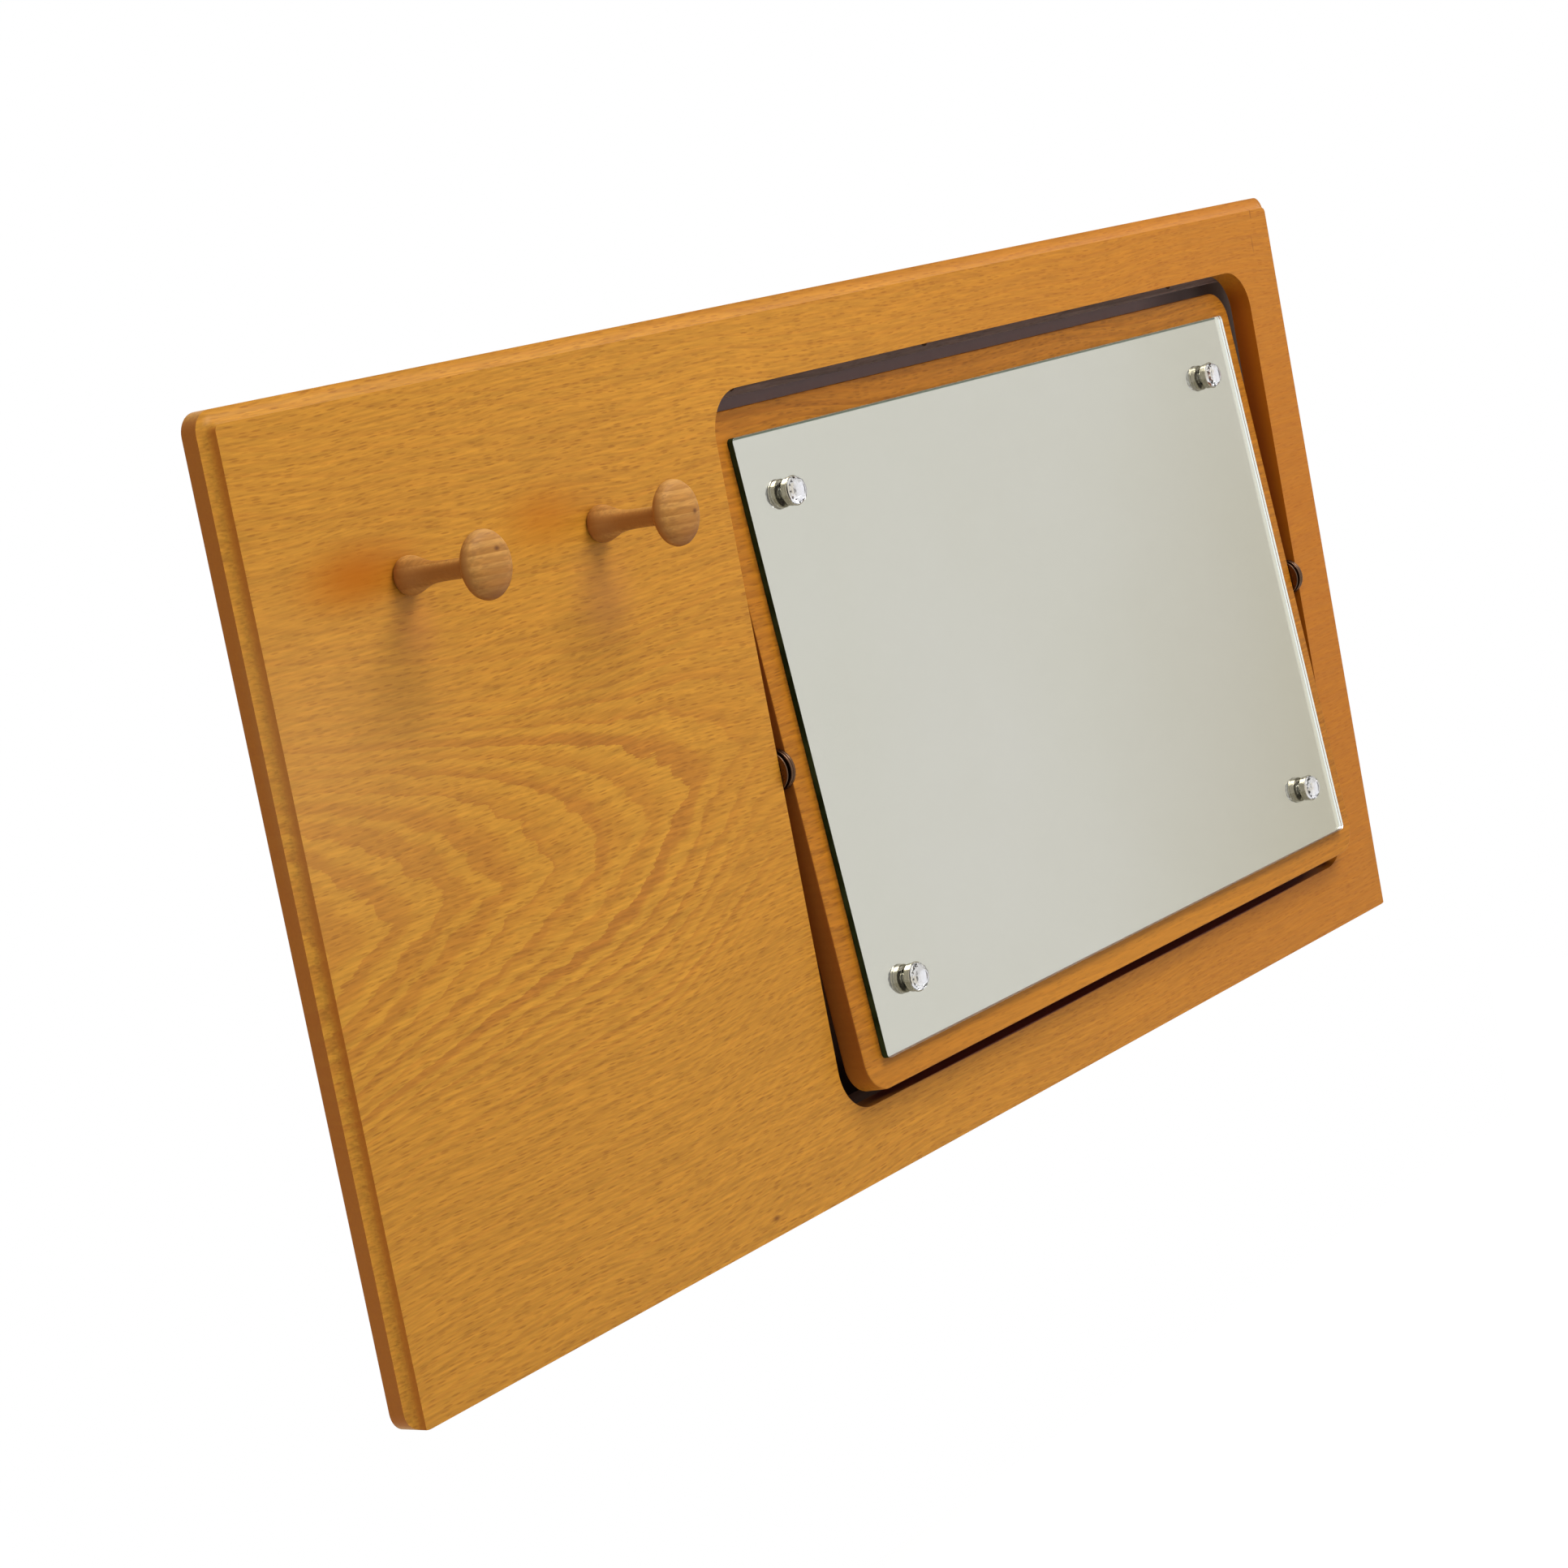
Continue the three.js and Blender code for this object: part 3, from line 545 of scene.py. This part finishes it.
# Profiles have (radius, height) in millimetres: the pegs over the board, the caps over the glass.
PEG_PROFILE = [
    (8.4, 0.3), (9.2, 0.7), (9.8, 1.8), (10.0, 3.4), (9.95, 4.8), (9.6, 6.6), (8.8, 8.8), (7.8, 11.2),
    (6.8, 13.8), (6.0, 16.6), (5.5, 20.0), (5.2, 24.0), (5.1, 30.0), (5.1, 36.0), (5.25, 40.5),
    (5.7, 43.6), (6.8, 45.6), (8.6, 46.9), (11.0, 47.7), (13.6, 48.6), (15.7, 49.6), (17.0, 50.9),
    (17.5, 52.5), (17.2, 54.2), (16.2, 55.7), (14.4, 57.0), (12.0, 58.0), (9.0, 58.8), (6.0, 59.25),
    (3.0, 59.45), (0.8, 59.5),
]
PEG_PLACES = {"left": Vector((-414, -40, -55.177)) * MM, "right": Vector((-259, -40, -55.177)) * MM}
KNOTS = {"left": (3.0, 7.0), "right": (8.0, -1.0)}              # across and up from the head's middle
TOWARDS_VIEWER = Matrix.Rotation(math.radians(90), 4, "X")      # turns a lathe axis Z to -Y
ALONG_BOARD = Matrix.Rotation(math.radians(90), 4, "Y")         # turns a lathe axis Z to X


def make_pegs():
    """Two turned pegs with a waisted foot and a mushroom head. The underside is painted darker, as
    painted shade, and each head has a small knot."""
    first = turned("turned_peg_left", PEG_PROFILE, 72)
    second = copied(first, "turned_peg_right")
    for piece, side in ((first, "left"), (second, "right")):
        place = PEG_PLACES[side]
        placed(piece, Matrix.Translation(place) @ TOWARDS_VIEWER)
        only(piece)
        bpy.ops.object.shade_smooth_by_angle(angle=math.radians(40))
        x, y, z = place / MM + Vector(PEG_SHIFT)
        across, up = KNOTS[side]
        # The first mark is painted shade under the peg; the second is a knot on the head.
        marks = [((x + 8, y - 30, z - 24), (70, 300, 32), "7E4418", 0.75),
                 ((x + across, y - 58, z + up), (3.4, 12, 2.2), "5A3018", 0.85)]
        finished(piece, turned_wood(marks), "board", ["peg_" + side])


COLLAR_PROFILE = [
    (4.6, 3.4), (4.6, 0.3), (7.95, 0.3), (8.25, 0.6), (8.25, 3.4), (8.7, 3.8), (8.7, 4.6), (8.5, 4.8),
    (8.2, 4.8), (8.1, 4.7), (8.1, 3.9), (1.0, 3.9),
]
FOIL_HEIGHT = (3.8, 4.0)       # the collar's floor, where the foil lies, is between these
CRYSTAL_PROFILE = [(7.7, 4.1), (8.0, 6.2), (6.6, 8.1), (3.8, 9.0)]
FACETS = 12                    # facets in a row


def make_collar(name, matrix, material, foil, node):
    """A plated collar over the screw head, with a thin rim that holds the crystal. Its floor is
    laid with foil, which throws the light back through the crystal."""
    piece = turned(name, COLLAR_PROFILE, 72)
    placed(piece, matrix)
    eased(piece, 0.12, 2, 35)
    finished(piece, material, "mirror", [node])
    piece.data.materials.append(foil)
    for face in piece.data.polygons:
        height = (matrix.inverted() @ face.center).z / MM
        on_floor = FOIL_HEIGHT[0] < height < FOIL_HEIGHT[1] and face.area > 1e-6
        face.material_index = 1 if on_floor else 0
    return piece


def make_crystal(name, matrix, material, node):
    """A clear domed cap, cut in two rows of triangular facets round a flat table."""
    nothing_selected()
    radius, height = CRYSTAL_PROFILE[0]
    bpy.ops.mesh.primitive_circle_add(vertices=FACETS, radius=radius * MM,
                                      location=(0, 0, height * MM), fill_type="NGON")
    piece = bpy.context.object
    piece.name = piece.data.name = name
    bpy.ops.object.transform_apply(location=True, rotation=True, scale=True)
    bpy.ops.object.mode_set(mode="EDIT")
    bpy.ops.mesh.select_all(action="SELECT")
    for row, ((r0, h0), (r1, h1)) in enumerate(zip(CRYSTAL_PROFILE, CRYSTAL_PROFILE[1:])):
        bpy.ops.mesh.extrude_region_move(TRANSFORM_OT_translate={"value": (0, 0, (h1 - h0) * MM)})
        bpy.ops.transform.resize(value=(r1 / r0, r1 / r0, 1), center_override=(0, 0, h1 * MM))
        if row:
            bpy.ops.transform.rotate(value=math.pi / FACETS, orient_axis="Z",
                                     center_override=(0, 0, h1 * MM))
    bpy.ops.mesh.select_all(action="SELECT")
    bpy.ops.mesh.quads_convert_to_tris()
    bpy.ops.mesh.normals_make_consistent(inside=False)
    bpy.ops.object.mode_set(mode="OBJECT")
    placed(piece, matrix)
    return finished(piece, material, "mirror", [node])


def make_caps():
    """Four caps over the mirror screws, each a collar with a crystal."""
    nickel, foil, crystal = nickel_plate(), silver_foil(), cut_crystal()
    for number, (x, up) in enumerate(CAP_PLACES, 1):
        seat = leaning(Matrix.Translation(Vector((x, GLASS_FRONT, up)) * MM) @ TOWARDS_VIEWER)
        make_collar(f"plated_collar_{number}", seat, nickel, foil, f"cap_collar_{number}")
        make_crystal(f"faceted_cap_{number}", seat, crystal, f"crystal_cap_{number}")


SHEET_HOLE = 4.0               # radius of a screw hole in the glass
SILVER_THICK = 0.1
SILVER_GAP = 0.06              # between silver and glass, so that no two faces share a place
SILVER_INSET = 0.4             # from the glass's outline to the silver's
EDGE_ZONE = 4.0                # how far the polished edge reaches in from the glass's outline


def rounded_sheet(name, width, height, back, front, corner, arris):
    """A sheet with round corners and a fine arris on its edges, with the four screw holes."""
    nothing_selected()
    bpy.ops.mesh.primitive_cube_add(size=1)
    piece = bpy.context.object
    piece.name = piece.data.name = name
    middle = Vector((GLASS_MIDDLE.x, (back + front) / 2, GLASS_MIDDLE.z)) * MM
    placed(piece, Matrix.Translation(middle) @ Matrix.Diagonal(
        (width * MM, (back - front) * MM, height * MM, 1)))
    bpy.ops.object.mode_set(mode="EDIT")
    bpy.ops.mesh.select_mode(type="EDGE")
    bpy.ops.mesh.select_all(action="DESELECT")
    bpy.ops.object.mode_set(mode="OBJECT")
    for edge in piece.data.edges:
        a, b = (piece.data.vertices[i].co for i in edge.vertices)
        edge.select = abs(a.y - b.y) > 1e-5
    bpy.ops.object.mode_set(mode="EDIT")
    bpy.ops.mesh.bevel(offset=corner * MM, segments=8, affect="EDGES")
    bpy.ops.object.mode_set(mode="OBJECT")
    holes = []
    for x, up in CAP_PLACES:
        nothing_selected()
        bpy.ops.mesh.primitive_cylinder_add(vertices=32, radius=SHEET_HOLE * MM, depth=20 * MM)
        middle = Matrix.Translation(Vector((x, GLASS_BACK, up)) * MM)
        holes.append(placed(bpy.context.object, middle @ TOWARDS_VIEWER))
    cut_away(piece, holes)
    if arris:
        eased(piece, arris, 3, 50, smooth=False)
    only(piece)
    bpy.ops.object.shade_flat()
    return placed(piece, leaning(Matrix.Identity(4)))


def make_mirror_glass():
    """Clear glass with polished edges, and the silver on its back."""
    width, height = GLASS_SIZE
    back = GLASS_BACK - SILVER_THICK - SILVER_GAP
    sheet = rounded_sheet("clear_glass", width, height, back, GLASS_FRONT, 3.0, 1.0)
    finished(sheet, float_glass(), "mirror", ["mirror_glass"])
    sheet.data.materials.append(glass_edge())
    facing = Matrix.Rotation(LEAN, 3, "X") @ Vector((0, 1, 0))
    upright = leaning(Matrix.Identity(4)).inverted()
    for face in sheet.data.polygons:
        away = (upright @ face.center) / MM - GLASS_MIDDLE
        outside = abs(away.x) > width / 2 - EDGE_ZONE or abs(away.z) > height / 2 - EDGE_ZONE
        # The arris stays clear on the left and the bottom. Elsewhere it is green like the edge.
        steepest = 0.3 if min(face.normal.x, face.normal.z) < -0.2 else 0.9
        face.material_index = 1 if outside and abs(face.normal.dot(facing)) < steepest else 0
    silver = rounded_sheet("silver_back", width - 2 * SILVER_INSET, height - 2 * SILVER_INSET,
                           GLASS_BACK, GLASS_BACK - SILVER_THICK, 2.6, 0)
    silver.data.materials.append(silvering())
    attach(silver, "mirror")


WASHER_HOLE = 3.5
# From left to right in a stack: the place in it, radius, thickness, rise of the hole, rounding.
WASHERS = {
    "edge": (0.0, 12, 1.0, 0, 0.3),
    "spring": (1.3, 10, 1.0, 1.8, 0.25),
    "middle": (4.4, 12, 1.8, 0, 0.5),
    "face": (6.5, 12, 1.9, 0, 0.5),
}
# For each side: where its stack starts, and the washer that turns with the mirror.
STACKS = {"left": (-142.7, "face"), "right": (470.8, "edge")}


def washer(name, x, outer, sheet, dish, round_edge, on_mirror):
    """A washer or disc spring on the pivot line, with tumbled round rims. Dish lifts its hole."""
    profile = [(WASHER_HOLE, dish), (outer, 0), (outer, sheet), (WASHER_HOLE, dish + sheet),
               (WASHER_HOLE, dish)]
    piece = turned(name, profile, 96, closed=True)
    place = Matrix.Translation(Vector((x * MM, PIVOT.y, PIVOT.z)))
    if on_mirror:
        place = place @ Matrix.Rotation(LEAN, 4, "X")
    placed(piece, place @ ALONG_BOARD)
    return eased(piece, round_edge, 3, 30)


def make_washers():
    """Two stacks of washers. The rims show in the gap at each end of the pivot."""
    steel = blackened_steel()
    for side, (start, turning) in STACKS.items():
        for part, (place, outer, sheet, dish, rounding) in WASHERS.items():
            on_mirror = part == turning
            piece = washer(f"rim_{part}_{side}", start + place, outer, sheet, dish, rounding, on_mirror)
            node = f"disc_spring_{side}" if part == "spring" else f"{part}_washer_{side}"
            finished(piece, steel, "mirror" if on_mirror else "board", [node])


# The screws whose heads show on the back.
BACK_SCREWS = ["peg_screw_left", "peg_screw_right"]
BACK_SCREWS += [f"{rail}_screw_{number}" for rail in ("hanging_rail", "lower_rail")
                for number in (1, 2, 3, 4)]
RECESS = (4.4, 3.2, 0.9)       # a bar of the cross: its length, twice its depth, and its width


def make_woodwork():
    """The board, the mirror panel and the rails, with sanded edges."""
    board_wood, panel_wood, rail_wood = lacquered_board(), lacquered_panel(), stained_rails()
    board = eased(joined_copy("wall_board", "sanded_board"), 0.6)
    finished(board, board_wood, "board", ["wall_board"])
    panel = eased(joined_copy("mirror_panel", "sanded_panel"), 0.5)
    finished(panel, panel_wood, "mirror", ["mirror_panel"])
    for rail in ("hanging_rail", "wall_rail", "lower_rail"):
        piece = eased(joined_copy(rail, "sanded_" + rail), 0.8)
        finished(piece, rail_wood, "board", [rail])
    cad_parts["pivot_plug"].material_slots[0].material = board_wood


def make_back_screws(zinc):
    """The screws whose heads show on the back get a cross recess for the driver."""
    for node in BACK_SCREWS:
        piece = joined_copy(node, "recessed_" + node)
        corners = [Vector(corner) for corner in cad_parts[node].bound_box]
        middle = sum(corners, Vector()) / 8
        head = Vector((middle.x, max(corner.y for corner in corners), middle.z))
        cutters = []
        for turn in (25, 115):
            nothing_selected()
            bpy.ops.mesh.primitive_cube_add(size=1)
            blade = Matrix.Rotation(math.radians(turn), 4, "Y") @ Matrix.Diagonal(
                [size * MM for size in RECESS] + [1])
            cutters.append(placed(bpy.context.object, Matrix.Translation(head) @ blade))
        cut_away(piece, cutters)
        only(piece)
        bpy.ops.object.shade_smooth_by_angle(angle=math.radians(30))
        finished(piece, zinc, "board", [node])


def dress_hardware():
    """Mirror screws, pins, bushes and sleeves are hidden, and keep the CAD's shapes."""
    zinc = zinc_steel()
    make_back_screws(zinc)
    by_slot = {"zinc_steel": zinc, "bronze": bearing_bronze(), "clear_plastic": soft_sleeve()}
    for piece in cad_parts.values():
        slot = piece.material_slots[0]
        if slot.material.name in by_slot:
            slot.material = by_slot[slot.material.name]


# ---------------------------------------------------------------- studio

WALL_GAP = 2 * MM              # the wall is this far behind the backs of the rails
WALL_SIZE = (1.5, 0.96)
WALL_MIDDLE = -0.2             # height of the wall's middle
FLOOR_SIZE = (4, 4)
FLOOR_HEIGHT = -0.86
# Rectangles on the wall, as (middle), (half size) in metres along X and Z.
WALL_SHADE = ((0.023, -0.207), (0.513, 0.225))       # where the wall shows through the gaps
RING_OUTER = ((0.168, -0.208), (0.35, 0.21))         # and the dark ring behind the mirror's gap
RING_INNER = ((0.168, -0.208), (0.275, 0.17))
ROOM_RIGHT = (0.97, -0.19, -0.15)                    # the way in which the mirror looks
ROOM_AHEAD = (0.45, -0.25, 0.86)                     # the way from which most soft light comes


def seen_rays(tree):
    """1 for what the camera, a reflection or a look through glass sees, and 0 for soft light."""
    rays = add(tree, "ShaderNodeLightPath").outputs
    seen = add(tree, "ShaderNodeMath", {0: rays["Is Camera Ray"], 1: rays["Is Glossy Ray"]},
               operation="ADD")
    return add(tree, "ShaderNodeMath", {0: seen, 1: rays["Is Transmission Ray"]}, operation="ADD",
               use_clamp=True)


def stage_plane(name, size, matrix):
    """A rectangle that belongs to the studio and not to the object."""
    nothing_selected()
    bpy.ops.mesh.primitive_plane_add(size=1)
    plane = bpy.context.object
    plane.name = plane.data.name = name
    placed(plane, matrix @ Matrix.Diagonal((size[0], size[1], 1, 1)))
    return plane


def stage_material(plane, name):
    """Gives the plane a material with no nodes yet, and returns its tree."""
    material = bpy.data.materials.new(name)
    material.use_nodes = True
    material.node_tree.nodes.clear()
    plane.data.materials.append(material)
    return material.node_tree


def make_floor():
    """A plain pale floor below the board. Seen directly it is nearly white and keeps a shadow."""
    floor = stage_plane("studio_floor", FLOOR_SIZE, Matrix.Translation((0, 0, FLOOR_HEIGHT)))
    tree = stage_material(floor, "pale studio floor")
    paint = add(tree, "ShaderNodeBsdfDiffuse", {"Color": linear("E6E5E2")})
    camera = add(tree, "ShaderNodeLightPath").outputs["Is Camera Ray"]
    tone = add(tree, "ShaderNodeMix", {0: camera, 6: linear("DAD8D0"), 7: (1.12, 1.12, 1.12, 1)},
               data_type="RGBA")
    white = add(tree, "ShaderNodeEmission", {"Color": tone, "Strength": 1.0})
    bright = add(tree, "ShaderNodeMixShader", {0: 0.8, 1: paint, 2: white})
    both = add(tree, "ShaderNodeMixShader", {0: seen_rays(tree), 1: paint, 2: bright})
    add(tree, "ShaderNodeOutputMaterial", {"Surface": both})


def past_rectangle(tree, place, centre, half):
    """How far a place on the wall lies outside a rectangle, and below zero inside it, in metres."""
    apart = add(tree, "ShaderNodeVectorMath", {0: place, 1: (centre[0], 0, centre[1])},
                operation="SUBTRACT")
    apart = add(tree, "ShaderNodeVectorMath", {0: apart}, operation="ABSOLUTE")
    apart = add(tree, "ShaderNodeVectorMath", {0: apart, 1: (half[0], 0, half[1])},
                operation="SUBTRACT")
    sides = add(tree, "ShaderNodeSeparateXYZ", {0: apart}).outputs
    return add(tree, "ShaderNodeMath", {0: sides["X"], 1: sides["Z"]}, operation="MAXIMUM")


def make_wall():
    """A patch of wall behind the board, seen only from the front and through the board's gaps.
    Past the board's outline it turns to plain white. Soft light passes through it, except close
    behind the gap round the mirror, which stays dark."""
    wall = stage_plane("studio_wall", WALL_SIZE,
                       Matrix.Translation((0, WALL_GAP, WALL_MIDDLE)) @ TOWARDS_VIEWER)
    tree = stage_material(wall, "shaded plaster wall")
    place = add(tree, "ShaderNodeTexCoord").outputs["Object"]
    past_board = past_rectangle(tree, place, *WALL_SHADE)
    hidden = add(tree, "ShaderNodeMapRange", {"Value": past_board, "From Min": 0.004,
                 "From Max": -0.004, "To Min": 0.0, "To Max": 1.0})
    apart = add(tree, "ShaderNodeSeparateXYZ", {0: place}).outputs
    # Painted shade: the wall is painted darker towards the bottom, and darker again to the right,
    # behind the board.
    height = add(tree, "ShaderNodeMapRange", {"Value": apart["Z"], "From Min": -0.4,
                 "From Max": -0.1})
    shade = add(tree, "ShaderNodeMix", {0: height, 6: linear("2C2220"), 7: linear("E4D2D4")},
                data_type="RGBA")
    corner = add(tree, "ShaderNodeMapRange", {"Value": apart["X"], "From Min": 0.4,
                 "From Max": 0.5})
    shade = add(tree, "ShaderNodeMix", {0: corner, 6: shade, 7: linear("5E524C")},
                data_type="RGBA")
    paint = add(tree, "ShaderNodeBsdfDiffuse", {"Color": shade})
    white = add(tree, "ShaderNodeEmission", {"Color": (1, 1, 1, 1), "Strength": 1.0})
    front = add(tree, "ShaderNodeMixShader", {0: hidden, 1: white, 2: paint})

    outside = past_rectangle(tree, place, *RING_OUTER)
    within = past_rectangle(tree, place, *RING_INNER)
    rim = add(tree, "ShaderNodeMath", {0: outside, 1: -1.0}, operation="MULTIPLY")
    rim = add(tree, "ShaderNodeMath", {0: rim, 1: within}, operation="MINIMUM")
    near_gap = add(tree, "ShaderNodeMapRange", {"Value": rim, "From Min": -0.004,
                   "From Max": 0.004, "To Min": 0.0, "To Max": 1.0})
    stops = add(tree, "ShaderNodeMath", {0: seen_rays(tree), 1: near_gap}, operation="MAXIMUM")
    behind = add(tree, "ShaderNodeNewGeometry").outputs["Backfacing"]
    shown = add(tree, "ShaderNodeMath", {0: stops, 1: behind}, operation="SUBTRACT", use_clamp=True)
    clear = add(tree, "ShaderNodeBsdfTransparent")
    both = add(tree, "ShaderNodeMixShader", {0: shown, 1: clear, 2: front})
    add(tree, "ShaderNodeOutputMaterial", {"Surface": both})


def light_world():
    """A white room, a little greyer to the right of the viewer, where the mirror looks."""
    world = bpy.data.worlds.new("studio room")
    bpy.context.scene.world = world
    world.use_nodes = True
    tree = world.node_tree
    tree.nodes.clear()
    way = add(tree, "ShaderNodeTexCoord").outputs["Generated"]
    camera = add(tree, "ShaderNodeLightPath").outputs["Is Camera Ray"]
    right = add(tree, "ShaderNodeVectorMath", {0: way, 1: ROOM_RIGHT}, operation="DOT_PRODUCT")
    room = add(tree, "ShaderNodeValToRGB", {"Fac": right},
               stops=[(0.6, "FFFFFF"), (0.88, "F4F3EF"), (0.925, "F0EEE8"), (0.955, "D6CFBC")])
    seen = add(tree, "ShaderNodeMix", {0: camera, 6: room, 7: (1, 1, 1, 1)}, data_type="RGBA")
    background = add(tree, "ShaderNodeBackground", {"Color": seen, "Strength": 1.0})
    ahead = add(tree, "ShaderNodeVectorMath", {0: way, 1: ROOM_AHEAD}, operation="DOT_PRODUCT")
    level = add(tree, "ShaderNodeMapRange", {"Value": ahead, "From Min": -1.0, "From Max": 1.0,
                "To Min": 0.22, "To Max": 0.78})
    soft = add(tree, "ShaderNodeBackground", {"Color": (1, 1, 1, 1), "Strength": level})
    both = add(tree, "ShaderNodeMixShader", {0: seen_rays(tree), 1: soft, 2: background})
    add(tree, "ShaderNodeOutputWorld", {"Surface": both})


def light_studio():
    """One broad lamp above the viewer, whose light falls down the board."""
    data = bpy.data.lights.new("broad_lamp", "AREA")
    data.shape = "RECTANGLE"
    data.size, data.size_y = 1.6, 1.0
    data.energy = 46
    lamp = bpy.data.objects.new("broad_lamp", data)
    bpy.context.collection.objects.link(lamp)
    lamp.location = (0.35, -1.5, 1.7)
    aim = Vector((0, 0, -0.2))
    lamp.rotation_euler = (aim - Vector(lamp.location)).to_track_quat("-Z", "Y").to_euler()


def place_camera():
    """Stands left of the board and looks along it, slightly down, with the horizon tilted. Lens,
    stand and aim were fitted to the photo."""
    data = bpy.data.cameras.new("camera")
    data.lens = 85.98
    data.sensor_width = 36
    camera = bpy.data.objects.new("camera", data)
    bpy.context.collection.objects.link(camera)
    stand = Vector((-1.7884, -1.2744, 0.0566))
    aim = Vector((-0.1417, -0.0400, -0.2213))
    upright = (aim - stand).to_track_quat("-Z", "Y").to_matrix()
    tilted = upright @ Matrix.Rotation(math.radians(-10.94), 3, "Z")
    camera.location = stand
    camera.rotation_euler = tilted.to_euler()
    bpy.context.scene.camera = camera


# ---------------------------------------------------------------- all together

make_woodwork()
make_pegs()
make_mirror_glass()
make_caps()
make_washers()
dress_hardware()
make_floor()
make_wall()
light_world()
light_studio()
place_camera()
bpy.context.scene.view_settings.view_transform = "Standard"
